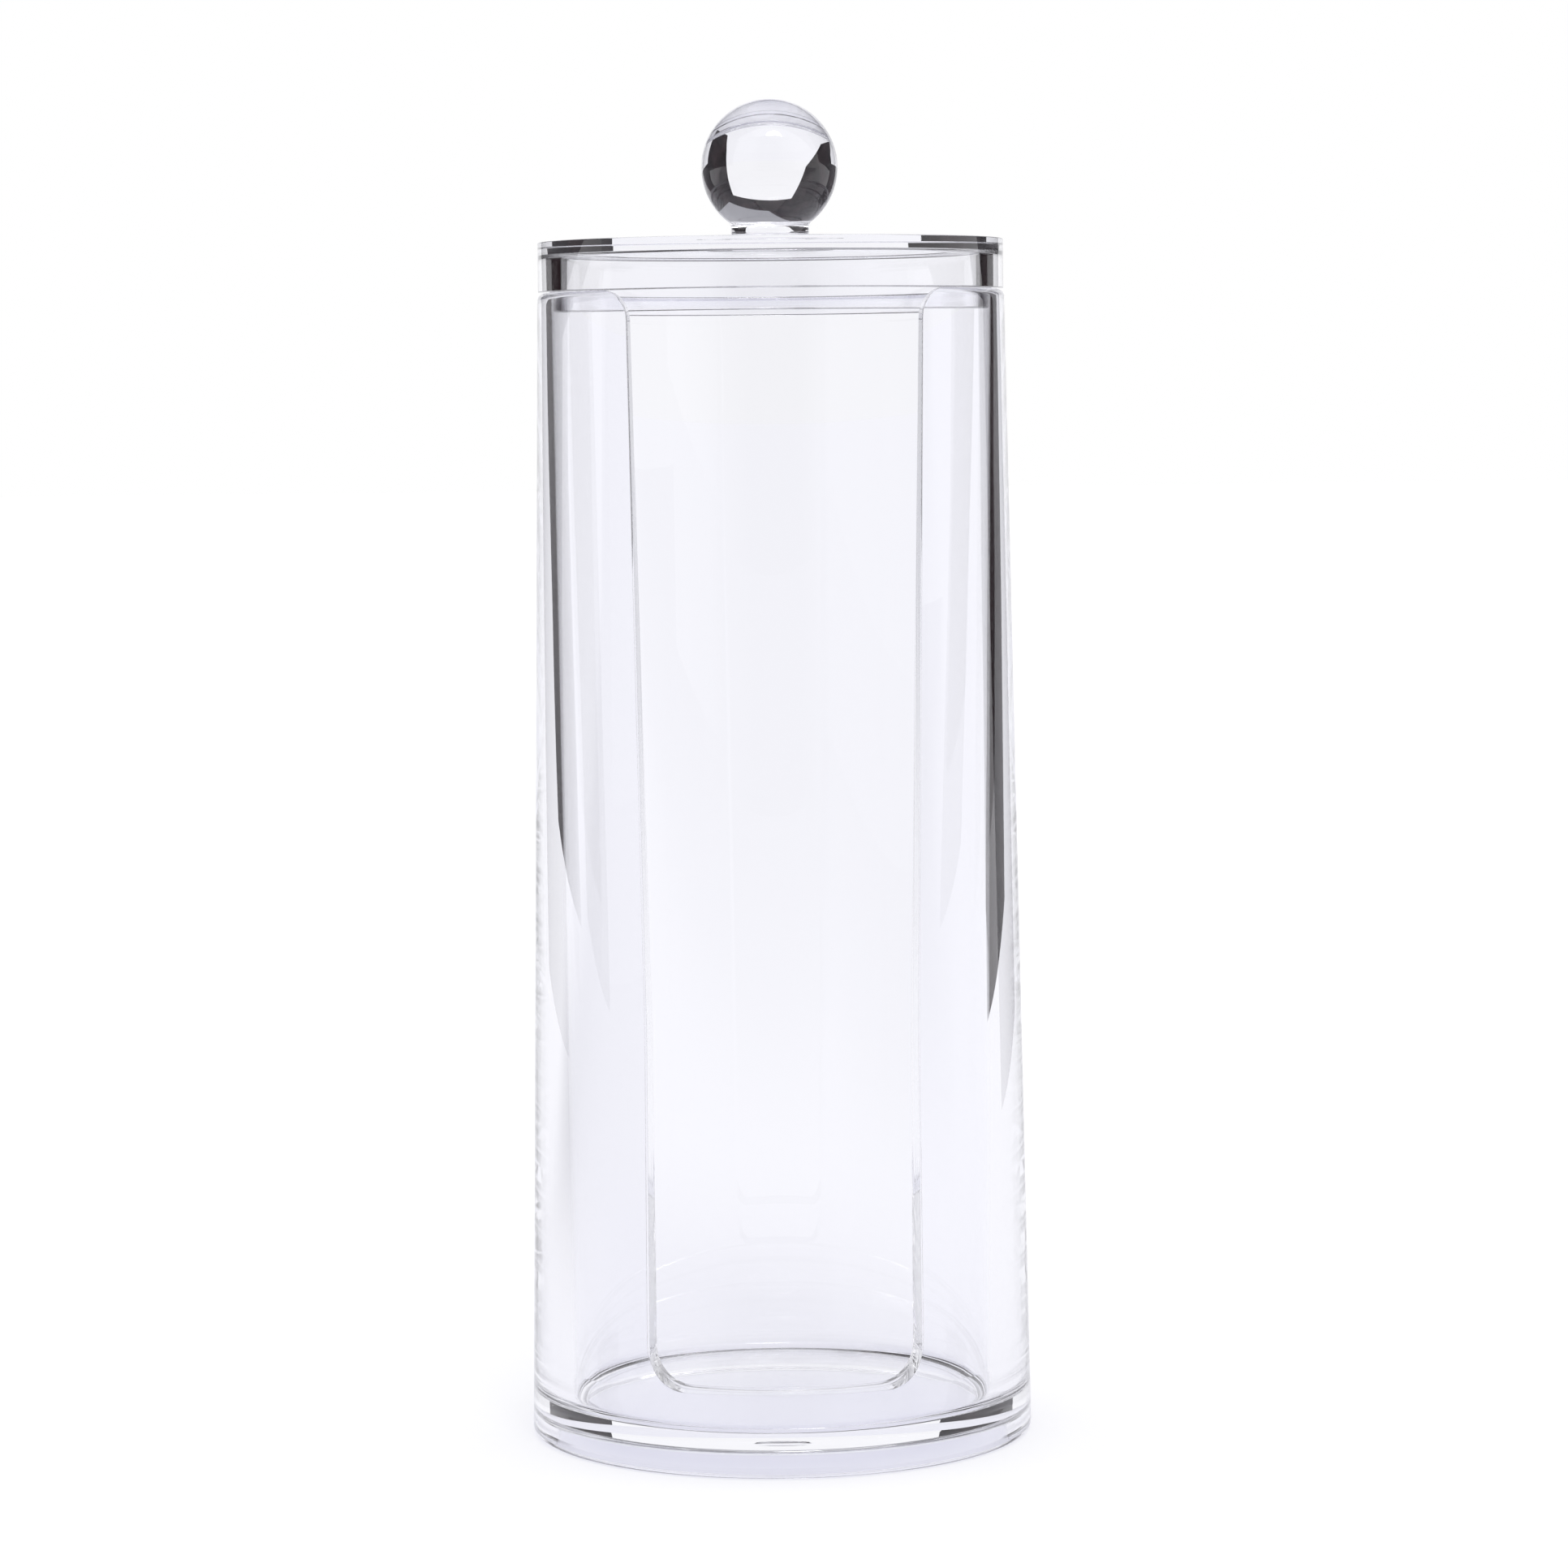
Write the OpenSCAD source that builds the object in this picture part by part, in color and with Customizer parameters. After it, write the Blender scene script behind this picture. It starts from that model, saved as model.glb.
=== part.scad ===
// Clear moulded cotton pad holder. A round canister with a dispensing slot down
// its front, a lift-off lid that plugs into its mouth, and a ball knob on the lid.
// Sizes are in millimetres and leans in degrees. +Z is up, the slot faces -Y, and
// the origin is the middle of the ring that the holder stands on.

/* [Canister] */
// Bore at the floor, a little over the pads that it holds
bore_d = 58.4; // [40:0.2:90]
// Lean of the bore, which is wider at the mouth
bore_lean = 0.43; // [0.1:0.01:0.8]
// Height of the rim above the table
rim_z = 158.8; // [90:0.2:220]
// Wall at the rim
rim_wall = 1.85; // [1.6:0.05:5]
// Lean of the outside, which is wider at the foot
side_lean = 1; // [0.6:0.05:2]
// Rounding of the rim's outer edge
rim_edge_r = 1; // [0.4:0.1:1.1]
// Rounding of the rim's inner edge
mouth_edge_r = 0.4; // [0.2:0.1:0.4]

/* [Floor and foot] */
// Thickness of the floor
floor_t = 1.8; // [1.2:0.1:4]
// Rounding where the floor meets the bore
floor_fillet_r = 1.7; // [0.5:0.1:3]
// Height of the foot ring, from the table to the underside of the floor
foot_h = 3.45; // [1.6:0.05:6]
// Width of the foot ring where it stands
foot_w = 3.4; // [2.4:0.1:5]
// Rounding of the foot's outer edge
foot_edge_r = 1; // [0.3:0.1:1]
// Rounding of the foot ring's inner edge
foot_inner_r = 0.5; // [0.2:0.1:0.8]
// Rounding where the foot ring meets the underside
foot_fillet_r = 0.8; // [0.3:0.1:1]
// Diameter of the moulding gate under the floor
gate_d = 5.4; // [2:0.2:6]
// How far the gate stands out
gate_h = 0.2; // [0.2:0.1:0.8]

/* [Slot] */
// Height of the slot's sill above the table
sill_z = 11.4; // [10:0.2:30]
// Width of the slot at the sill
sill_w = 36.1; // [24:0.1:46]
// Width of the slot at the rim
slot_top_w = 40; // [24:0.1:46]
// Height up to which the slot keeps its width
slot_bend_z = 60; // [30:1:100]
// Draft of the slot's sides, which open towards the front
slot_draft = 9; // [2:0.5:12]
// Rounding of the slot's lower corners
sill_corner_r = 5; // [2:0.5:10]
// Rounding where the slot's sides turn out into the rim
slot_flare_r = 4; // [2:0.5:8]

/* [Lid] */
// Height of the lid above its seat on the rim
lid_h = 6.8; // [4:0.1:12]
// Thickness of the lid's top
lid_t = 1.7; // [1.2:0.1:3]
// How far the lid's edge stands in from the rim's
lid_inset = 0.1; // [0:0.1:0.5]
// Clearance under the lid's shoulder, at the seat
seat_gap = 0.1; // [0.05:0.05:0.3]
// Clearance round the plug, in the mouth
plug_gap = 0.3; // [0.15:0.05:0.5]
// Depth of the plug below the shoulder
plug_h = 3; // [2:0.1:8]
// Wall of the plug
plug_wall = 1.1; // [0.8:0.1:2]
// Rounding of the lid's outer edges
lid_edge_r = 0.25; // [0.2:0.05:0.8]
// Rounding inside, where the lid's top meets its wall
lid_fillet_r = 0.6; // [0.3:0.1:2]
// Rounding of the plug's lower edges
plug_edge_r = 0.35; // [0.2:0.05:0.4]

/* [Knob] */
// Diameter of the ball
ball_d = 18.8; // [16:0.2:26]
// Height of the knob above the lid
knob_h = 19.5; // [19:0.1:30]
// Diameter of the neck between the ball and the lid
neck_d = 10.8; // [8:0.2:14]
// Rounding round the neck's foot
neck_foot_r = 1; // [0.3:0.1:1]

/* [Hidden] */
$fn = 128;

floor_z = foot_h + floor_t;
bore_r = bore_d / 2;
mouth_r = bore_r + (rim_z - floor_z) * tan(bore_lean);
rim_r = mouth_r + rim_wall;
foot_r = rim_r + rim_z * tan(side_lean);
foot_in_r = foot_r - foot_w;
slot_lean = atan((slot_top_w - sill_w) / 2 / (rim_z - slot_bend_z));
seat_z = rim_z + seat_gap;
lid_r = rim_r - lid_inset;
plug_r = mouth_r - plug_gap;
lid_in_r = plug_r - plug_wall;
lid_z = seat_z + lid_h;
ball_r = ball_d / 2;
ball_z = lid_z + knob_h - ball_r;
neck_r = neck_d / 2;
// Cuts run this far past the face that they start from
over = 1;
// Cones in the rounding of a rim
arc_steps = 5;

// How far the middle of a rounding lies from the corner of a flat face and a wall
// that leans by a, away from the corner. Where the wall leans over the rounding's
// middle, a is negative.
function set_in(r, a) = r / cos(a) - r * tan(a);

// The point where a rounding of radius r about c meets a wall that faces angle a
function touch(c, r, a) = c + r * [cos(a), sin(a)];

// The points of a rounding of radius r about c, from angle a to angle b
function arc(c, r, a, b) = [for (i = [0:arc_steps]) touch(c, r, a + (b - a) * i / arc_steps)];

module disc_at(c, r) {
    translate(c) circle(r);
}

// Half section of the canister's outside, from the axis out. The rim's rounding is
// a run of short cones, which the slot's flare meets cleanly.
module canister_outside() {
    foot_c = [foot_r - set_in(foot_edge_r, -side_lean), foot_edge_r];
    rim_c = [rim_r - set_in(rim_edge_r, side_lean), rim_z - rim_edge_r];
    polygon(concat(
        [[0, 0], [foot_c.x, 0], touch(foot_c, foot_edge_r, side_lean)],
        arc(rim_c, rim_edge_r, side_lean, 90),
        [[0, rim_z]]
    ));
    disc_at(foot_c, foot_edge_r);
}

// Half section of the bore, with its fillet at the floor and its eased mouth
module bore_space() {
    floor_c = [bore_r - set_in(floor_fillet_r, bore_lean), floor_z + floor_fillet_r];
    mouth_c = [mouth_r + set_in(mouth_edge_r, bore_lean), rim_z - mouth_edge_r];
    polygon(concat(
        [[0, floor_z], [floor_c.x, floor_z], touch(floor_c, floor_fillet_r, -bore_lean)],
        arc(mouth_c, mouth_edge_r, 180 - bore_lean, 90),
        [[mouth_c.x, rim_z + over], [0, rim_z + over]]
    ));
    disc_at(floor_c, floor_fillet_r);
}

// Half section of the hollow inside the foot ring
module foot_space() {
    top_c = [foot_in_r - foot_fillet_r, foot_h - foot_fillet_r];
    edge_c = [foot_in_r + foot_inner_r, foot_inner_r];
    difference() {
        union() {
            polygon([
                [0, -over],
                [edge_c.x, -over],
                [edge_c.x, 0],
                [foot_in_r, edge_c.y],
                [foot_in_r, top_c.y],
                [top_c.x, foot_h],
                [0, foot_h]
            ]);
            disc_at(top_c, foot_fillet_r);
        }
        disc_at(edge_c, foot_inner_r);
    }
}

// Right half of the slot as seen from the front, and a little past the middle
module half_slot() {
    sill_c = [sill_w / 2 - sill_corner_r, sill_z + sill_corner_r];
    flare_c = [slot_top_w / 2 + set_in(slot_flare_r, slot_lean), rim_z - slot_flare_r];
    past = sill_w / 4;
    difference() {
        union() {
            polygon([
                [-past, sill_z],
                [sill_c.x, sill_z],
                [sill_w / 2, sill_c.y],
                [sill_w / 2, slot_bend_z],
                touch(flare_c, slot_flare_r, 180 - slot_lean),
                [flare_c.x, rim_z],
                [flare_c.x, rim_z + over],
                [-past, rim_z + over]
            ]);
            disc_at(sill_c, sill_corner_r);
        }
        disc_at(flare_c, slot_flare_r);
    }
}

// The slot is cut in from the front. Each half is turned out by the draft about a
// line up the front of the bore, so the slot closes a little towards the bore.
module slot_cut() {
    deep = bore_r / 3;
    for (side = [0, 1]) mirror([side, 0, 0])
        translate([0, -bore_r, 0]) rotate([90, 0, slot_draft]) translate([0, 0, -deep])
            linear_extrude(height = deep + bore_r / 2) half_slot();
}

module canister() {
    color("lavender", 0.35) {
        difference() {
            rotate_extrude() difference() {
                canister_outside();
                bore_space();
                foot_space();
            }
            slot_cut();
        }
        translate([0, 0, foot_h - gate_h]) cylinder(d = gate_d, h = gate_h + floor_t / 2);
    }
}

// Half section of the lid's outside: the top and its wall, and the plug below the shoulder
module lid_outside() {
    top_c = [lid_r - lid_edge_r, lid_z - lid_edge_r];
    seat_c = [lid_r - lid_edge_r, seat_z + lid_edge_r];
    plug_c = [plug_r - plug_edge_r, seat_z - plug_h + plug_edge_r];
    polygon([
        [0, plug_c.y - plug_edge_r],
        [plug_c.x, plug_c.y - plug_edge_r],
        [plug_r, plug_c.y],
        [plug_r, seat_z],
        [seat_c.x, seat_z],
        [lid_r, seat_c.y],
        [lid_r, top_c.y],
        [top_c.x, lid_z],
        [0, lid_z]
    ]);
    disc_at(top_c, lid_edge_r);
    disc_at(seat_c, lid_edge_r);
    disc_at(plug_c, plug_edge_r);
}

// Half section of the hollow under the lid, inside its wall and plug
module lid_space() {
    top_c = [lid_in_r - lid_fillet_r, lid_z - lid_t - lid_fillet_r];
    edge_c = [lid_in_r + plug_edge_r, seat_z - plug_h + plug_edge_r];
    difference() {
        union() {
            polygon([
                [0, edge_c.y - plug_edge_r - over],
                [edge_c.x, edge_c.y - plug_edge_r - over],
                [edge_c.x, edge_c.y - plug_edge_r],
                [lid_in_r, edge_c.y],
                [lid_in_r, top_c.y],
                [top_c.x, lid_z - lid_t],
                [0, lid_z - lid_t]
            ]);
            disc_at(top_c, lid_fillet_r);
        }
        disc_at(edge_c, plug_edge_r);
    }
}

module lid() {
    color("aliceblue", 0.35) rotate_extrude() difference() {
        lid_outside();
        lid_space();
    }
}

// Half section of the neck, with the rounding that spreads its foot on the lid
module neck_section() {
    square([neck_r, ball_z - lid_z]);
    difference() {
        square([neck_r + neck_foot_r, neck_foot_r]);
        disc_at([neck_r + neck_foot_r, neck_foot_r], neck_foot_r);
    }
}

module knob() {
    color("lightsteelblue", 0.35) {
        translate([0, 0, ball_z]) sphere(d = ball_d);
        translate([0, 0, lid_z]) rotate_extrude() neck_section();
    }
}

canister();
lid();
knob();
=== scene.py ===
import math

import bmesh
import bpy
from mathutils import Euler, Matrix, Vector


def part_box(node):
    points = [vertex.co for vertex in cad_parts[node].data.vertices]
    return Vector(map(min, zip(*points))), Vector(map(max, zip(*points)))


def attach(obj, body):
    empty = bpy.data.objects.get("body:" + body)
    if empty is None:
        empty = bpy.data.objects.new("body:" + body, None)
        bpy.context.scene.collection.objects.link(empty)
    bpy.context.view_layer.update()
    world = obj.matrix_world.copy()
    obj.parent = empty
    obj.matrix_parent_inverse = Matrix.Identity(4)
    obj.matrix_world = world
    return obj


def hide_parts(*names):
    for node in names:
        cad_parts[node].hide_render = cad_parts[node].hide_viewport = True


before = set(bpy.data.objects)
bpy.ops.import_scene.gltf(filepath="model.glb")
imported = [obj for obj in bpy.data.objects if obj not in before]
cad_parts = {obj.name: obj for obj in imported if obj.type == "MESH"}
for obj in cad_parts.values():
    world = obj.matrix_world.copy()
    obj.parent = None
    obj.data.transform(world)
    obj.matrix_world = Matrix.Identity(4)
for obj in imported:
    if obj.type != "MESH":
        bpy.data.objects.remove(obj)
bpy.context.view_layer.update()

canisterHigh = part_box("canister")[1]
lidLow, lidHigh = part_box("lid")
knobLow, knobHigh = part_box("knob")
mm = 0.001  # the pieces are turned in millimetres and brought to metres at the end
columnsRound = 320  # columns in a full turn
mergeWithin = 1e-5  # mm, points that a spin leaves on top of each other
sameHeight = 1e-3  # mm, faces that lie in the glued joint
print("pad holder: CAD frame loaded")


# Section points

def arcPoints(centre, radius, startDegrees, endDegrees, steps):
    # a rounding in the section plane, angles from +X
    span = endDegrees - startDegrees
    angles = [math.radians(startDegrees + span * i / steps) for i in range(steps + 1)]
    return [(centre[0] + radius * math.cos(a), centre[1] + radius * math.sin(a)) for a in angles]


def setIn(radius, lean):
    # how far a rounding's middle lies from the corner of a flat and a wall that leans by lean
    return radius / math.cos(lean) - radius * math.tan(lean)


def evenSteps(start, end, steps):
    # heights between start and end, both left out
    return [start + (end - start) * i / steps for i in range(1, steps)]


# Canister: one moulding, with its slot cut in from the front

canister = {
    "rimHeight": canisterHigh.z / mm,
    "boreRadius": 29.2,  # at the floor
    "boreLean": 0.43,  # degrees, wider at the mouth
    "rimWall": 1.85,
    "sideLean": 1.0,  # degrees, wider at the foot
    "rimEdge": 1.0,  # roundings, from here
    "mouthEdge": 0.4,
    "floorFillet": 1.7,
    "footEdge": 1.0,
    "footInnerEdge": 0.5,
    "footFillet": 0.8,
    "floorTop": 5.25,
    "footHeight": 3.45,  # of the hollow inside the foot ring
    "footWidth": 3.4,
    "gateRadius": 2.7,  # the moulding gate under the floor
    "gateHeight": 0.2,
    "gateShoulder": 0.1,  # how far its eased edge stands in halfway down, and on its face
    "gateEase": 0.4,
}
slot = {
    "sillHeight": 11.4,
    "bendHeight": 60.0,  # the slot keeps its width up to here, then widens to the rim
    "sillHalf": 18.05,  # half widths, where the draft crosses the front of the bore
    "topHalf": 20.0,
    "draft": math.radians(9),  # the sides open towards the front
    "cornerRadius": 5.0,
    "flareRadius": 4.0,
    "edgeRounding": 0.25,
    "columns": 32,  # columns that the slot takes out on each side of the front
    "evenBelow": 7.2,  # under this height the columns are evenly spaced
}
boreLean = math.radians(canister["boreLean"])
sideLean = math.radians(canister["sideLean"])
boreDepth = canister["rimHeight"] - canister["floorTop"]
mouthRadius = canister["boreRadius"] + boreDepth * math.tan(boreLean)
rimRadius = mouthRadius + canister["rimWall"]
footRadius = rimRadius + canister["rimHeight"] * math.tan(sideLean)


def outsideRadius(z):
    # the canister's outside at a height, with the rounding at the rim
    edge = canister["rimEdge"]
    middleX, middleZ = rimRadius - setIn(edge, sideLean), canister["rimHeight"] - edge
    if z > middleZ + edge * math.sin(sideLean):
        return middleX + math.sqrt(max(edge ** 2 - (z - middleZ) ** 2, 0))
    return footRadius - z * math.tan(sideLean)


def insideRadius(z):
    # the bore at a height, with the rounding at the mouth
    edge = canister["mouthEdge"]
    middleX, middleZ = mouthRadius + setIn(edge, boreLean), canister["rimHeight"] - edge
    if z > middleZ + edge * math.sin(boreLean):
        return middleX - math.sqrt(max(edge ** 2 - (z - middleZ) ** 2, 0))
    return canister["boreRadius"] + (z - canister["floorTop"]) * math.tan(boreLean)


def slotHalfWidth(z):
    # half the slot's width at a height, with its rounded lower corners and its flare at the rim
    sill, rim, bend = slot["sillHeight"], canister["rimHeight"], slot["bendHeight"]
    lean = math.atan((slot["topHalf"] - slot["sillHalf"]) / (rim - bend))
    corner, flare = slot["cornerRadius"], slot["flareRadius"]
    if z < sill + corner:
        return slot["sillHalf"] - corner + math.sqrt(max(corner ** 2 - (sill + corner - z) ** 2, 0))
    if z > rim - flare * (1 - math.sin(lean)):
        middle = slot["topHalf"] + setIn(flare, lean)
        return middle - math.sqrt(max(flare ** 2 - (z - rim + flare) ** 2, 0))
    return slot["sillHalf"] + max(z - bend, 0) * math.tan(lean)


def slotTurn(z, radius):
    # angle from the slot's middle to its side, at a height and a distance from the axis
    across = canister["boreRadius"] * math.sin(slot["draft"])
    return slot["draft"] + math.asin((slotHalfWidth(z) - across) / radius)


def slotRows():
    # heights of the rows beside the slot, closest where its outline or the rim is round
    sill, rim, bend = slot["sillHeight"], canister["rimHeight"], slot["bendHeight"]
    corner, flare, edge = slot["cornerRadius"], slot["flareRadius"], canister["rimEdge"]
    rows = [sill + corner * (1 - math.cos(math.radians(a))) for a in range(0, 91, 9)]
    rows += evenSteps(sill + corner, bend, 14) + [bend] + evenSteps(bend, rim - flare, 30)
    rows += [rim - flare * (1 - math.sin(math.radians(a))) for a in range(0, 48, 12)]
    rows += [rim - edge * (1 - math.sin(math.radians(a))) for a in range(0, 91, 15)]
    return rows


def canisterSection():
    # from the axis on the floor, up the bore, over the rim, down the outside and under the floor
    c = canister
    rows = slotRows()
    filletTop = c["floorTop"] + c["floorFillet"]
    footIn, footTop = footRadius - c["footWidth"], c["footHeight"]
    footInnerEdge, footFillet = c["footInnerEdge"], c["footFillet"]
    section = [(0, c["floorTop"])]
    section += arcPoints((c["boreRadius"] - setIn(c["floorFillet"], boreLean), filletTop),
                         c["floorFillet"], -90, -c["boreLean"], 6)
    section += [(insideRadius(z), z) for z in evenSteps(filletTop, rows[0], 6) + rows]
    section += [(outsideRadius(z), z) for z in rows[::-1] + evenSteps(rows[0], c["footEdge"], 9)]
    section += arcPoints((footRadius - setIn(c["footEdge"], -sideLean), c["footEdge"]),
                         c["footEdge"], c["sideLean"], -90, 6)
    section += arcPoints((footIn + footInnerEdge, footInnerEdge), footInnerEdge, 270, 180, 4)
    section += arcPoints((footIn - footFillet, footTop - footFillet), footFillet, 0, 90, 5)
    gateLow, gateRadius = footTop - c["gateHeight"], c["gateRadius"]
    section += [
        (gateRadius, footTop),
        (gateRadius - c["gateShoulder"], (gateLow + footTop) / 2),
        (gateRadius - c["gateEase"], gateLow),
    ]
    return section + [(0, gateLow)]


def turnSection(section):
    # spins a half section, whose two ends are on the axis, into a closed solid
    bm = bmesh.new()
    points = [bm.verts.new((x, 0, z)) for x, z in section]
    edges = [bm.edges.new(pair) for pair in zip(points, points[1:])]
    bmesh.ops.spin(bm, geom=points + edges, cent=(0, 0, 0), axis=(0, 0, 1),
                   angle=math.tau, steps=columnsRound, use_merge=True)
    bmesh.ops.remove_doubles(bm, verts=bm.verts, dist=mergeWithin)
    return bm


def turnFromFront(co):
    # angle round the axis, nought at the slot's middle and positive towards +X
    return math.atan2(co.x, -co.y)


def cutSlot(bm):
    nominal = math.tau * slot["columns"] / columnsRound
    sill, even = slot["sillHeight"], slot["evenBelow"]

    def inSlot(face):
        middle = face.calc_center_median()
        return middle.z > sill and abs(turnFromFront(middle)) < nominal

    bmesh.ops.delete(bm, geom=[f for f in bm.faces if inSlot(f)], context="FACES")
    # the columns beside the gap slide round the wall until they follow the slot's outline
    for vert in bm.verts:
        radius = math.hypot(vert.co.x, vert.co.y)
        if vert.co.z < even or radius < canister["boreRadius"] / 2:
            continue
        edgeTurn = slotTurn(max(vert.co.z, sill), radius)
        settle = min((vert.co.z - even) / (sill - even), 1)
        edgeTurn = nominal + (edgeTurn - nominal) * settle * settle * (3 - 2 * settle)
        turn = turnFromFront(vert.co)
        beyond = (abs(turn) - nominal) * (math.pi - edgeTurn) / (math.pi - nominal)
        slid = abs(turn) * edgeTurn / nominal if abs(turn) <= nominal else edgeTurn + beyond
        slid = math.copysign(slid, turn)
        vert.co.x, vert.co.y = radius * math.sin(slid), -radius * math.cos(slid)

    # the gap's outer and inner outlines are joined by the slot's own faces, then eased
    def skinOf(vert):
        between = (outsideRadius(vert.co.z) + insideRadius(vert.co.z)) / 2
        return math.hypot(vert.co.x, vert.co.y) > between

    outlines = [e for e in bm.edges if e.is_boundary and skinOf(e.verts[0]) == skinOf(e.verts[1])]
    bmesh.ops.bridge_loops(bm, edges=outlines)
    bmesh.ops.bevel(bm, geom=outlines, offset=slot["edgeRounding"], offset_type="OFFSET",
                    affect="EDGES", segments=3, profile=0.5, material=-1, clamp_overlap=True)


# Lid: its top and wall stand on the rim, and its plug goes down into the mouth

lid = {
    "radius": lidHigh.x / mm,
    "top": lidHigh.z / mm,
    "plugBottom": lidLow.z / mm,
    "seatGap": 0.1,  # under the shoulder
    "plugGap": 0.3,  # round the plug
    "plugWall": 1.1,
    "thickness": 1.7,
    "edge": 0.12,  # roundings, from here
    "fillet": 0.6,
    "plugEdge": 0.35,
    "shoulderFillet": 0.15,
}


def lidSection():
    # from the axis under the top, down inside, round the plug and out over the top
    p = lid
    seat = canister["rimHeight"] + p["seatGap"]
    plugRadius = mouthRadius - p["plugGap"]
    hollowRadius = plugRadius - p["plugWall"]
    under = p["top"] - p["thickness"]
    plugEdge, edge, fillet, shoulder = p["plugEdge"], p["edge"], p["fillet"], p["shoulderFillet"]
    plugMiddle = p["plugBottom"] + plugEdge
    section = [(0, under)]
    section += arcPoints((hollowRadius - fillet, under - fillet), fillet, 90, 0, 6)
    section += arcPoints((hollowRadius + plugEdge, plugMiddle), plugEdge, 180, 270, 4)
    section += arcPoints((plugRadius - plugEdge, plugMiddle), plugEdge, 270, 360, 4)
    section += arcPoints((plugRadius + shoulder, seat - shoulder), shoulder, 180, 90, 4)
    section += arcPoints((p["radius"] - edge, seat + edge), edge, -90, 0, 6)
    section += arcPoints((p["radius"] - edge, p["top"] - edge), edge, 0, 90, 6)
    return section + [(knobFootRadius, p["top"]), (0, p["top"])]


# Knob: a ball on a short neck, glued to the lid

knob = {
    "radius": knobHigh.x / mm,
    "top": knobHigh.z / mm,
    "foot": knobLow.z / mm,
    "neckRadius": 5.4,
    "footFlare": 1.0,
    "neckFillet": 1.0,  # where the neck runs into the ball
    "ballSteps": 70,
}
knobFootRadius = knob["neckRadius"] + knob["footFlare"]


def knobSection():
    # from the top of the ball down to the foot
    k = knob
    ballMiddle = k["top"] - k["radius"]
    fillet, flare = k["neckFillet"], k["footFlare"]
    reach = k["radius"] + fillet
    filletX = k["neckRadius"] + fillet
    drop = math.sqrt(reach ** 2 - filletX ** 2)
    meets = math.degrees(math.atan2(drop, filletX))
    section = arcPoints((0, ballMiddle), k["radius"], 90, -meets, k["ballSteps"])
    section[0] = (0, k["top"])
    section += arcPoints((filletX, ballMiddle - drop), fillet, 180 - meets, 180, 5)[1:]
    section += arcPoints((k["neckRadius"] + flare, k["foot"] + flare), flare, 180, 270, 5)
    return section + [(0, k["foot"])]


# Materials

def linearColour(hexColour):
    channels = [int(hexColour[i:i + 2], 16) / 255 for i in (1, 3, 5)]
    return [c / 12.92 if c <= 0.04045 else ((c + 0.055) / 1.055) ** 2.4 for c in channels] + [1]


def addNode(tree, kind, settings=None, links=None):
    # a node with its settings, by property or socket name, and its links, by socket name
    node = tree.nodes.new(kind)
    for name, value in (settings or {}).items():
        if name in node.inputs:
            node.inputs[name].default_value = value
        else:
            setattr(node, name, value)
    for name, source in (links or {}).items():
        tree.links.new(source, node.inputs[name])
    return node


def newTree(name):
    # a material with an empty node tree
    material = bpy.data.materials.new(name)
    material.use_nodes = True
    material.node_tree.nodes.clear()
    return material, material.node_tree


styrene = {
    "tint": "#FDFDFF",  # for light that has gone through one wall
    "ior": 1.59,
    "flowWidth": 14.0,  # mm across one swell of the moulded surface
    "flowDepth": 0.02,  # mm
    "flowStretch": 0.35,  # the swells run up the wall, about three times as long as wide
    "roughest": 0.012,  # roughness where the polish is least
    "shadeFacing": "#FCFCFE",  # light that reaches the table through one face, square on
    "shadeEdge": "#E8E8EE",  # and at a grazing angle
}


def mouldedStyrene():
    # clear general-purpose polystyrene, injection moulded in a mirror-polished tool: water clear
    # with a faint cool cast, a hard bright polish, and very slight swells left by its shrinking
    material, tree = newTree("clear moulded styrene")
    place = addNode(tree, "ShaderNodeTexCoord")
    stretched = addNode(tree, "ShaderNodeMapping", {"Scale": (1, 1, styrene["flowStretch"])},
                        {"Vector": place.outputs["Object"]})
    swells = addNode(tree, "ShaderNodeTexNoise",
                     {"Scale": 1 / (styrene["flowWidth"] * mm), "Detail": 1.0},
                     {"Vector": stretched.outputs["Vector"]})
    bump = addNode(tree, "ShaderNodeBump", {"Strength": 1.0, "Distance": styrene["flowDepth"] * mm},
                   {"Height": swells.outputs["Fac"]})
    polish = addNode(tree, "ShaderNodeMapRange", {"To Min": 0.0, "To Max": styrene["roughest"]},
                     {"Value": swells.outputs["Fac"]})
    glass = addNode(tree, "ShaderNodeBsdfPrincipled",
                    {"Base Color": linearColour(styrene["tint"]), "Transmission Weight": 1.0,
                     "IOR": styrene["ior"]},
                    {"Roughness": polish.outputs["Result"], "Normal": bump.outputs["Normal"]})
    # lamps and the table see through it with a soft shade in place of slow caustics
    facing = addNode(tree, "ShaderNodeLayerWeight", {"Blend": 0.5})
    shade = addNode(tree, "ShaderNodeMix", {"data_type": "RGBA"},
                    {"Factor": facing.outputs["Facing"]})
    shade.inputs["A"].default_value = linearColour(styrene["shadeFacing"])
    shade.inputs["B"].default_value = linearColour(styrene["shadeEdge"])
    through = addNode(tree, "ShaderNodeBsdfTransparent", None, {"Color": shade.outputs["Result"]})
    path = addNode(tree, "ShaderNodeLightPath")
    soft = addNode(tree, "ShaderNodeMath", {"operation": "MAXIMUM"})
    tree.links.new(path.outputs["Is Shadow Ray"], soft.inputs[0])
    tree.links.new(path.outputs["Is Diffuse Ray"], soft.inputs[1])
    both = addNode(tree, "ShaderNodeMixShader", None, {"Fac": soft.outputs["Value"]})
    tree.links.new(glass.outputs["BSDF"], both.inputs[1])
    tree.links.new(through.outputs["BSDF"], both.inputs[2])
    addNode(tree, "ShaderNodeOutputMaterial", None, {"Surface": both.outputs["Shader"]})
    return material


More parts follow.
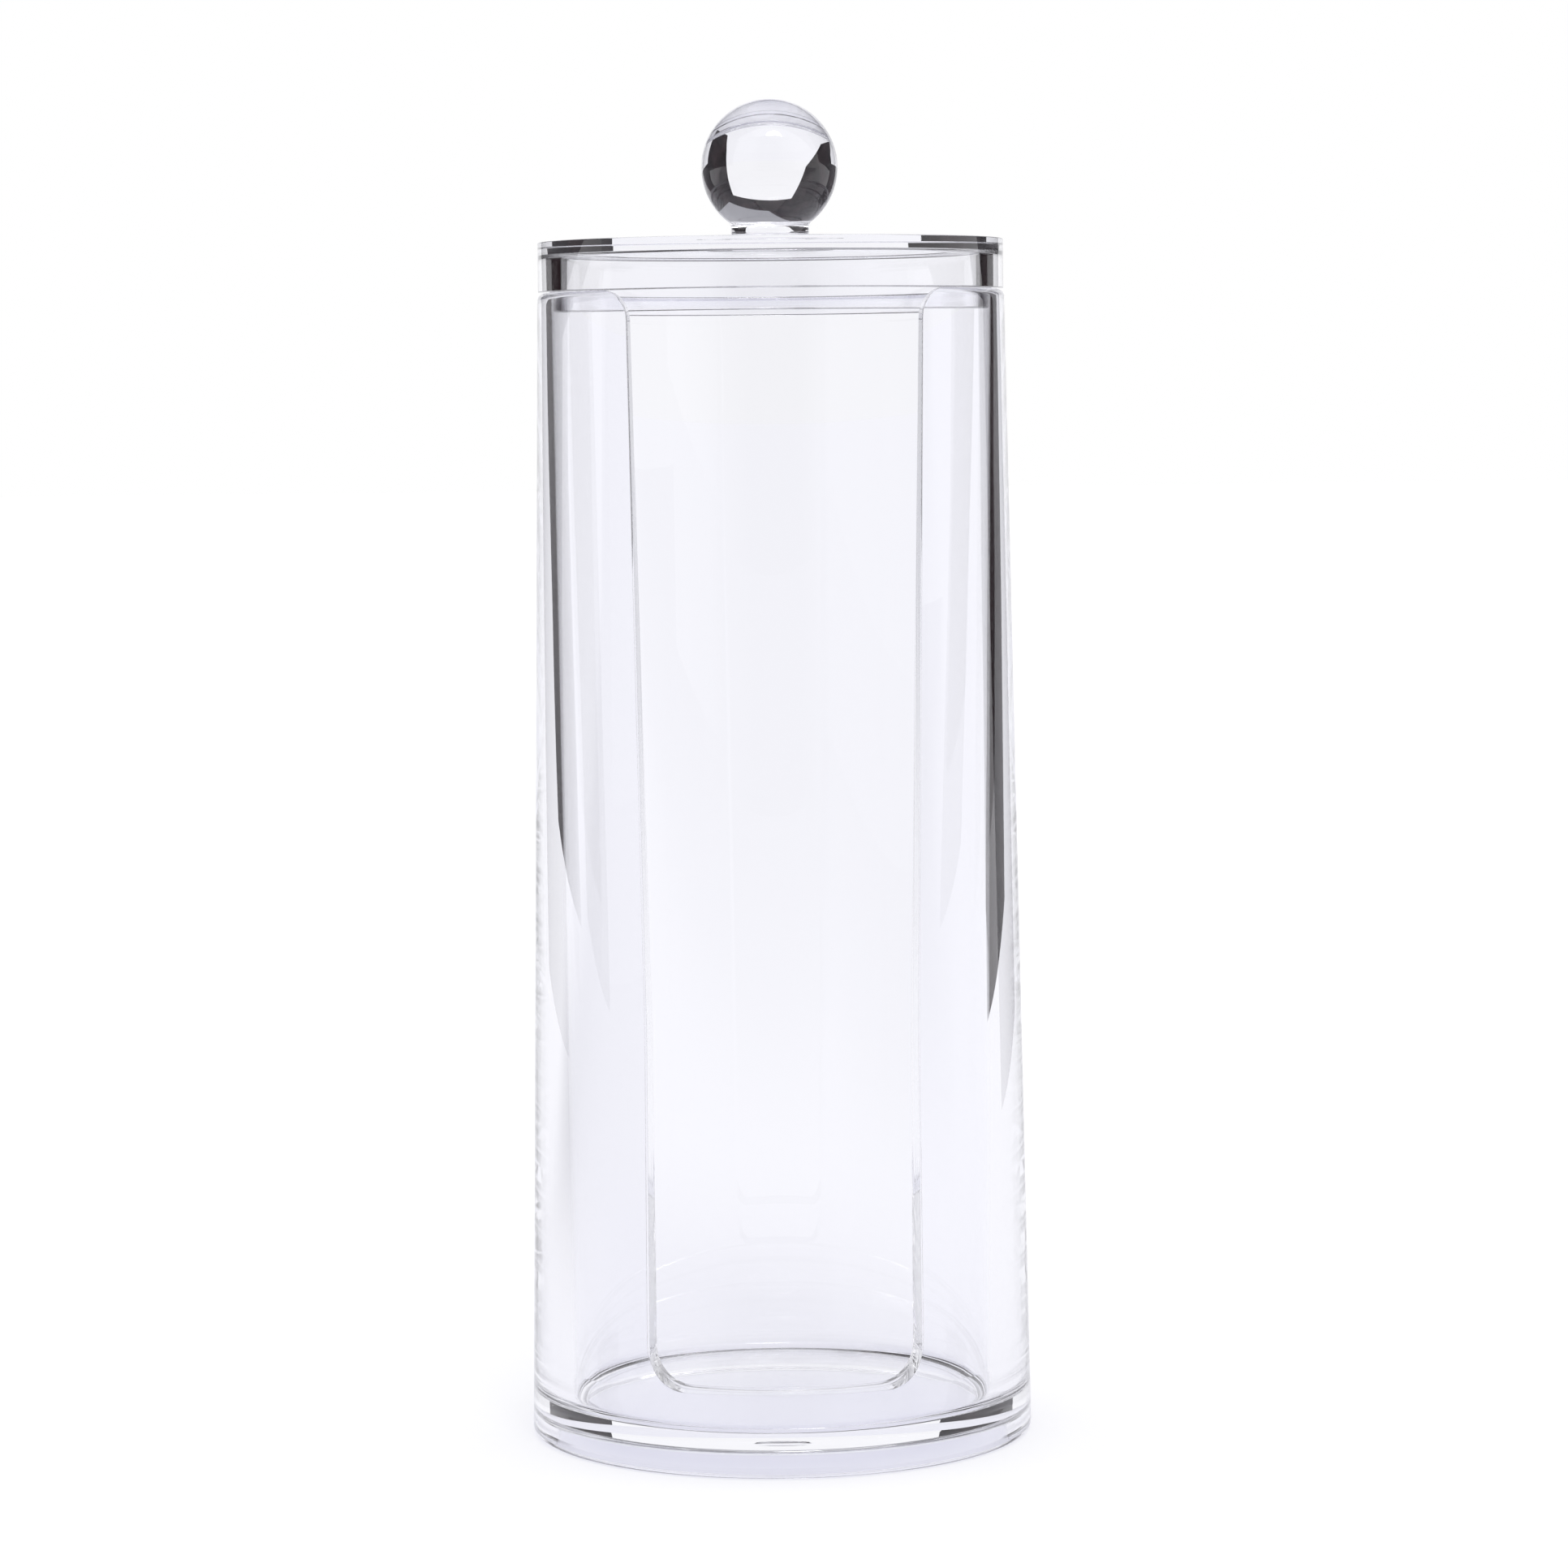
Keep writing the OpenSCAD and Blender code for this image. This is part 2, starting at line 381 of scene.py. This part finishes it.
def gluedJoint():
    # solvent glue fills the joint, so no air is left between the knob and the lid and light
    # passes from one to the other as if they were one
    material, tree = newTree("glued joint")
    through = addNode(tree, "ShaderNodeBsdfTransparent")
    addNode(tree, "ShaderNodeOutputMaterial", None, {"Surface": through.outputs["BSDF"]})
    return material


clearStyrene = mouldedStyrene()
glueFilm = gluedJoint()
print("pad holder: materials made")


# Pieces

def finishPiece(name, bm, body, node):
    bmesh.ops.recalc_face_normals(bm, faces=bm.faces)
    bmesh.ops.scale(bm, vec=(mm, mm, mm), verts=bm.verts)
    mesh = bpy.data.meshes.new(name)
    bm.to_mesh(mesh)
    bm.free()
    mesh.shade_smooth()
    mesh.materials.append(clearStyrene)
    mesh.materials.append(glueFilm)
    piece = bpy.data.objects.new(name, mesh)
    bpy.context.scene.collection.objects.link(piece)
    even = piece.modifiers.new("even normals", "WEIGHTED_NORMAL")
    even.mode = "FACE_AREA_WITH_ANGLE"
    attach(piece, body)
    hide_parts(node)
    print("pad holder:", name, len(mesh.polygons), "faces")


def glueFaces(bm, height):
    # the disc under the knob's foot, on the lid and on the knob
    for face in bm.faces:
        middle = face.calc_center_median()
        inJoint = math.hypot(middle.x, middle.y) < knobFootRadius
        if abs(middle.z - height) < sameHeight and inJoint:
            face.material_index = 1


canisterMesh = turnSection(canisterSection())
cutSlot(canisterMesh)
finishPiece("clearCanister", canisterMesh, "canister", "canister")

lidMesh = turnSection(lidSection())
glueFaces(lidMesh, lid["top"])
finishPiece("clearLid", lidMesh, "lid", "lid")

knobMesh = turnSection(knobSection())
glueFaces(knobMesh, knob["foot"])
finishPiece("clearKnob", knobMesh, "lid", "knob")


# Camera: level with the upper half, a little to the left of the slot, looking slightly down

view = {
    "lens": 112.87,  # mm
    "sensor": 36,  # mm across
    "distance": 0.6824,
    "height": 0.1465,
    "aside": 1.1,  # degrees round to the left of the slot's middle
    "aimAside": 0.095,  # degrees, the holder stands a little left of the frame's middle
    "down": 4.69,
    "roll": -0.596,
    "clip": (0.01, 50),
}


def addCamera():
    camera = bpy.data.objects.new("camera", bpy.data.cameras.new("camera"))
    bpy.context.scene.collection.objects.link(camera)
    aside = math.radians(view["aside"])
    turn = -aside - math.radians(view["aimAside"])
    distance = view["distance"]
    place = Vector((-math.sin(aside) * distance, -math.cos(aside) * distance, view["height"]))
    aim = Euler((math.radians(90 - view["down"]), 0, turn)).to_matrix()
    roll = Matrix.Rotation(math.radians(view["roll"]), 3, "Z")
    camera.matrix_world = Matrix.LocRotScale(place, aim @ roll, None)
    camera.data.lens = view["lens"]
    camera.data.sensor_width = view["sensor"]
    camera.data.clip_start, camera.data.clip_end = view["clip"]
    bpy.context.scene.camera = camera
    return camera


camera = addCamera()
bpy.context.view_layer.update()


# Studio: white paper, with painted shade where the plastic shows it, and a white backdrop,
# with black cards at the sides and above, a grey card under the upper one that glows with
# painted light, and the room's walls on the camera's side

studio = {
    "tableSize": 12.0,
    "tableDrop": 0.0001,  # an air film under the foot ring
    "fibreWidth": 0.4,  # mm, drawn coarser than real paper's so that it shows
    "fibreDepth": 0.02,  # mm
    "fibreStrength": 0.1,
    "left": -0.435,  # the left card's plane
    "nearHeights": (0.1, 0.165, 0.2),  # heights of the bends in the side cards' near edges
    "leftNear": (0.19, 0.27, 0.27, -0.2),  # the near edge at the foot and at those heights
    "leftEdge": [(-0.435, 0.46, 0), (-0.3, 0.69, 0.2), (-0.165, 0.706, 0.53)],  # far edge, table up
    "right": 0.235,
    "rightNear": (0.14, 0.14, 0.14, 0.0),
    # the right card's far edge, as y and height
    "rightEdge": [(0.335, 0.012), (0.375, 0.1), (0.4, 0.25), (0.43, 0.38)],
    "ceiling": 0.53,
    "ceilingNear": -0.15,
    "ceilingEnd": 0.8,
    "ceilingHalf": 0.9,
    "greyUnder": 0.005,  # the grey sheet hangs this far under the ceiling card
    "greyEdge": [(-0.12, 0.3), (0.02, 0.54), (0.9, 0.54)],  # its far edge, as x and y
    "wall": -1.1,  # the room's wall behind the camera
    "wallLeft": -0.7,
    "wallRight": 1.6,
    "wallBack": 0.0,  # how far the left wall reaches back
    "wallHeight": 1.6,
    "blackCard": "#150E11",
    "blackWorn": "#2E2427",  # where the black card is scuffed
    "scuffs": 9.0,  # to the metre
    "scuffSpan": (0.45, 0.65),  # of the noise, from whole card to worn
    # painted light: the grey card gives off this colour, the brightness of a grey card in the
    # room's light
    "greyCardGlow": "#9C9CA2",
    # the wall's colours by x: darkest behind the camera, lightest on the right, by the window
    "wallPaint": [(-0.7, "#CFCFD5"), (-0.3, "#9A9AA0"), (0.2, "#9A9AA0"), (1.2, "#F4F4F8")],
    "white": "#FFFFFF",
    "backdrop": "#FCFCFE",  # the backdrop and paper as the plastic shows them, where the photo
    "paper": "#F4F4F8",  # is not cleaned up to pure white
    "paperPaintedShade": "#B4B4BA",  # painted shade: the paper gets darker to the left and towards the camera
    "paintedShadeLeft": (-0.05, -0.35),  # where the painted shade starts and ends, getting darker to the left
    "paintedShadeBehind": (0.1, 0.3),  # as long as it isn't this far behind the holder
    "paintedShadeForward": (-0.1, -0.5),
    "worldLight": 0.88,
    "lampLight": 0.8,
    "lampSpread": 25,  # degrees
    "lampTilt": (40, 8),  # degrees, from the front and from the side
}


def addSheet(name, outlines, material, toCamera):
    # flat sheets, each from its corners in the order round its edge
    bm = bmesh.new()
    for outline in outlines:
        bm.faces.new([bm.verts.new(corner) for corner in outline])
    mesh = bpy.data.meshes.new(name)
    bm.to_mesh(mesh)
    bm.free()
    mesh.materials.append(material)
    sheet = bpy.data.objects.new(name, mesh)
    bpy.context.scene.collection.objects.link(sheet)
    if toCamera:
        # the cards stay beside the camera when it goes round the set, and only the clear
        # plastic sees them
        sheet.parent = camera
        sheet.matrix_parent_inverse = camera.matrix_world.inverted()
        sheet.visible_camera = sheet.visible_diffuse = sheet.visible_shadow = False


def tablePaper():
    # matt white background paper: bright, with no gloss; where the plastic shows it, painted shade
    # darkens it to the left and towards the camera
    material, tree = newTree("white background paper with painted shade")
    place = addNode(tree, "ShaderNodeTexCoord")
    fibre = addNode(tree, "ShaderNodeTexNoise",
                    {"Scale": 1 / (studio["fibreWidth"] * mm), "Detail": 2.0},
                    {"Vector": place.outputs["Object"]})
    bump = addNode(tree, "ShaderNodeBump",
                   {"Strength": studio["fibreStrength"], "Distance": studio["fibreDepth"] * mm},
                   {"Height": fibre.outputs["Fac"]})
    # painted shade: the mask that darkens the paper to the left and towards the camera
    axes = addNode(tree, "ShaderNodeSeparateXYZ", None, {"Vector": place.outputs["Object"]})
    left = addNode(tree, "ShaderNodeMath", {"operation": "SUBTRACT", "use_clamp": True})
    paintedShadeMask = addNode(tree, "ShaderNodeMath", {"operation": "MAXIMUM"})
    for axis, limits, target in (("X", "paintedShadeLeft", left.inputs[0]),
                                 ("Y", "paintedShadeBehind", left.inputs[1]),
                                 ("Y", "paintedShadeForward", paintedShadeMask.inputs[1])):
        start, end = studio[limits]
        fade = addNode(tree, "ShaderNodeMapRange",
                       {"interpolation_type": "SMOOTHSTEP", "From Min": start, "From Max": end},
                       {"Value": axes.outputs[axis]})
        tree.links.new(fade.outputs["Result"], target)
    tree.links.new(left.outputs["Value"], paintedShadeMask.inputs[0])
    inPlastic = addNode(tree, "ShaderNodeMix", {"data_type": "RGBA"},
                        {"Factor": paintedShadeMask.outputs["Value"]})
    inPlastic.inputs["A"].default_value = linearColour(studio["paper"])
    inPlastic.inputs["B"].default_value = linearColour(studio["paperPaintedShade"])
    path = addNode(tree, "ShaderNodeLightPath")
    shown = addNode(tree, "ShaderNodeMix", {"data_type": "RGBA"},
                    {"Factor": path.outputs["Is Camera Ray"]})
    tree.links.new(inPlastic.outputs["Result"], shown.inputs["A"])
    shown.inputs["B"].default_value = linearColour(studio["white"])
    paper = addNode(tree, "ShaderNodeBsdfDiffuse", None,
                    {"Color": shown.outputs["Result"], "Normal": bump.outputs["Normal"]})
    addNode(tree, "ShaderNodeOutputMaterial", None, {"Surface": paper.outputs["BSDF"]})
    return material


def card(name, hexColour):
    # a card that gives off its colour as painted light, the brightness of a matt card in the room's
    # light, so it looks the same from wherever the plastic shows it
    material, tree = newTree(name)
    plain = addNode(tree, "ShaderNodeEmission", {"Color": linearColour(hexColour), "Strength": 1.0})
    addNode(tree, "ShaderNodeOutputMaterial", None, {"Surface": plain.outputs["Emission"]})
    return material


def blackCard():
    # matt black card with scuffs, which the ball and the thick edges show as nearly black
    material, tree = newTree("scuffed black card")
    place = addNode(tree, "ShaderNodeTexCoord")
    scuffs = addNode(tree, "ShaderNodeTexNoise", {"Scale": studio["scuffs"], "Detail": 3.0},
                     {"Vector": place.outputs["Object"]})
    whole, bare = studio["scuffSpan"]
    worn = addNode(tree, "ShaderNodeMapRange", {"From Min": whole, "From Max": bare},
                   {"Value": scuffs.outputs["Fac"]})
    paint = addNode(tree, "ShaderNodeMix", {"data_type": "RGBA"},
                    {"Factor": worn.outputs["Result"]})
    paint.inputs["A"].default_value = linearColour(studio["blackCard"])
    paint.inputs["B"].default_value = linearColour(studio["blackWorn"])
    plain = addNode(tree, "ShaderNodeEmission", {"Strength": 1.0},
                    {"Color": paint.outputs["Result"]})
    addNode(tree, "ShaderNodeOutputMaterial", None, {"Surface": plain.outputs["Emission"]})
    return material


def roomPaint():
    # matt wall paint in the shade behind the camera, lit by a window on the right
    material, tree = newTree("painted wall in window light")
    place = addNode(tree, "ShaderNodeTexCoord")
    across = addNode(tree, "ShaderNodeSeparateXYZ", None, {"Vector": place.outputs["Object"]})
    ramp = addNode(tree, "ShaderNodeValToRGB")
    paints = studio["wallPaint"]
    start, end = paints[0][0], paints[-1][0]
    span = addNode(tree, "ShaderNodeMapRange", {"From Min": start, "From Max": end},
                   {"Value": across.outputs["X"]})
    stops = ramp.color_ramp.elements
    for x, paint in paints[1:-1]:
        stops.new((x - start) / (end - start)).color = linearColour(paint)
    stops[0].color, stops[-1].color = linearColour(paints[0][1]), linearColour(paints[-1][1])
    tree.links.new(span.outputs["Result"], ramp.inputs["Fac"])
    plain = addNode(tree, "ShaderNodeEmission", {"Strength": 1.0}, {"Color": ramp.outputs["Color"]})
    addNode(tree, "ShaderNodeOutputMaterial", None, {"Surface": plain.outputs["Emission"]})
    return material


def standing(x0, y0, x1, y1, height):
    return [(x0, y0, 0), (x1, y1, 0), (x1, y1, height), (x0, y0, height)]


def addStudio():
    s = studio
    half, drop = s["tableSize"] / 2, -s["tableDrop"]
    table = [(-half, -half, drop), (half, -half, drop), (half, half, drop), (-half, half, drop)]
    addSheet("table", [table], tablePaper(), False)
    left, right, top, wide = s["left"], s["right"], s["ceiling"], s["ceilingHalf"]
    low, mid, high = s["leftEdge"]
    near, end, under = s["ceilingNear"], s["ceilingEnd"], top - s["greyUnder"]
    rightFar = [(right, y, z) for y, z in s["rightEdge"]]

    def nearEdge(x, edge, bottom):
        # a side card's edge that faces the camera, from the top down
        heights = (bottom,) + s["nearHeights"]
        return [(x, y, z) for y, z in zip(edge[::-1], heights[::-1])]

    leftNear = nearEdge(left, s["leftNear"], 0)
    rightNear = nearEdge(right, s["rightNear"], rightFar[0][2])
    addSheet("blackCards", [
        [low, mid] + leftNear,
        [mid, high, (left, leftNear[0][1], top), leftNear[0]],
        rightFar + [(right, rightNear[0][1], rightFar[-1][2])] + rightNear,
        [(-wide, near, top), (wide, near, top), (wide, end, top), (-wide, end, top)],
    ], blackCard(), True)
    greyEdge = [(x, y, under) for x, y in s["greyEdge"]]
    # the grey sheet glows with painted light, in place of a grey card lit by the room
    addSheet("greyCardGlow", [[(s["greyEdge"][0][0], near, under)] + greyEdge + [(wide, near, under)]],
             card("glowing grey card", s["greyCardGlow"]), True)
    wallLeft, depth, height = s["wallLeft"], s["wall"], s["wallHeight"]
    addSheet("roomWalls", [
        standing(wallLeft, depth, s["wallRight"], depth, height),
        standing(wallLeft, depth, wallLeft, s["wallBack"], height),
    ], roomPaint(), True)


def addWorld():
    # one white lights the set, one shows behind the plastic, and the camera sees pure white
    world = bpy.data.worlds.new("white studio")
    bpy.context.scene.world = world
    world.use_nodes = True
    tree = world.node_tree
    tree.nodes.clear()
    path = addNode(tree, "ShaderNodeLightPath")
    inPlastic = addNode(tree, "ShaderNodeMath", {"operation": "MAXIMUM"})
    tree.links.new(path.outputs["Is Glossy Ray"], inPlastic.inputs[0])
    tree.links.new(path.outputs["Is Transmission Ray"], inPlastic.inputs[1])
    white, pale = linearColour(studio["white"]), linearColour(studio["backdrop"])
    light = addNode(tree, "ShaderNodeBackground",
                    {"Color": white, "Strength": studio["worldLight"]})
    through = addNode(tree, "ShaderNodeBackground", {"Color": pale, "Strength": 1.0})
    backdrop = addNode(tree, "ShaderNodeBackground", {"Color": white, "Strength": 1.0})
    behind = addNode(tree, "ShaderNodeMixShader", None, {"Fac": inPlastic.outputs["Value"]})
    tree.links.new(light.outputs["Background"], behind.inputs[1])
    tree.links.new(through.outputs["Background"], behind.inputs[2])
    both = addNode(tree, "ShaderNodeMixShader", None, {"Fac": path.outputs["Is Camera Ray"]})
    tree.links.new(behind.outputs["Shader"], both.inputs[1])
    tree.links.new(backdrop.outputs["Background"], both.inputs[2])
    addNode(tree, "ShaderNodeOutputWorld", None, {"Surface": both.outputs["Shader"]})


def addLamp():
    lamp = bpy.data.lights.new("overhead softbox", "SUN")
    lamp.energy = studio["lampLight"]
    lamp.angle = math.radians(studio["lampSpread"])
    holder = bpy.data.objects.new("overhead softbox", lamp)
    tilt = [math.radians(a) for a in studio["lampTilt"]]
    holder.matrix_world = Euler((*tilt, 0)).to_matrix().to_4x4()
    bpy.context.scene.collection.objects.link(holder)


addStudio()
addWorld()
addLamp()
scene = bpy.context.scene
scene.view_settings.view_transform = "Standard"
wallBounces = 64  # light runs round in the thick wall many times before it leaves
scene.cycles.max_bounces = wallBounces
scene.cycles.transmission_bounces = wallBounces
scene.cycles.glossy_bounces = wallBounces
scene.cycles.transparent_max_bounces = 24
print("pad holder: studio made")
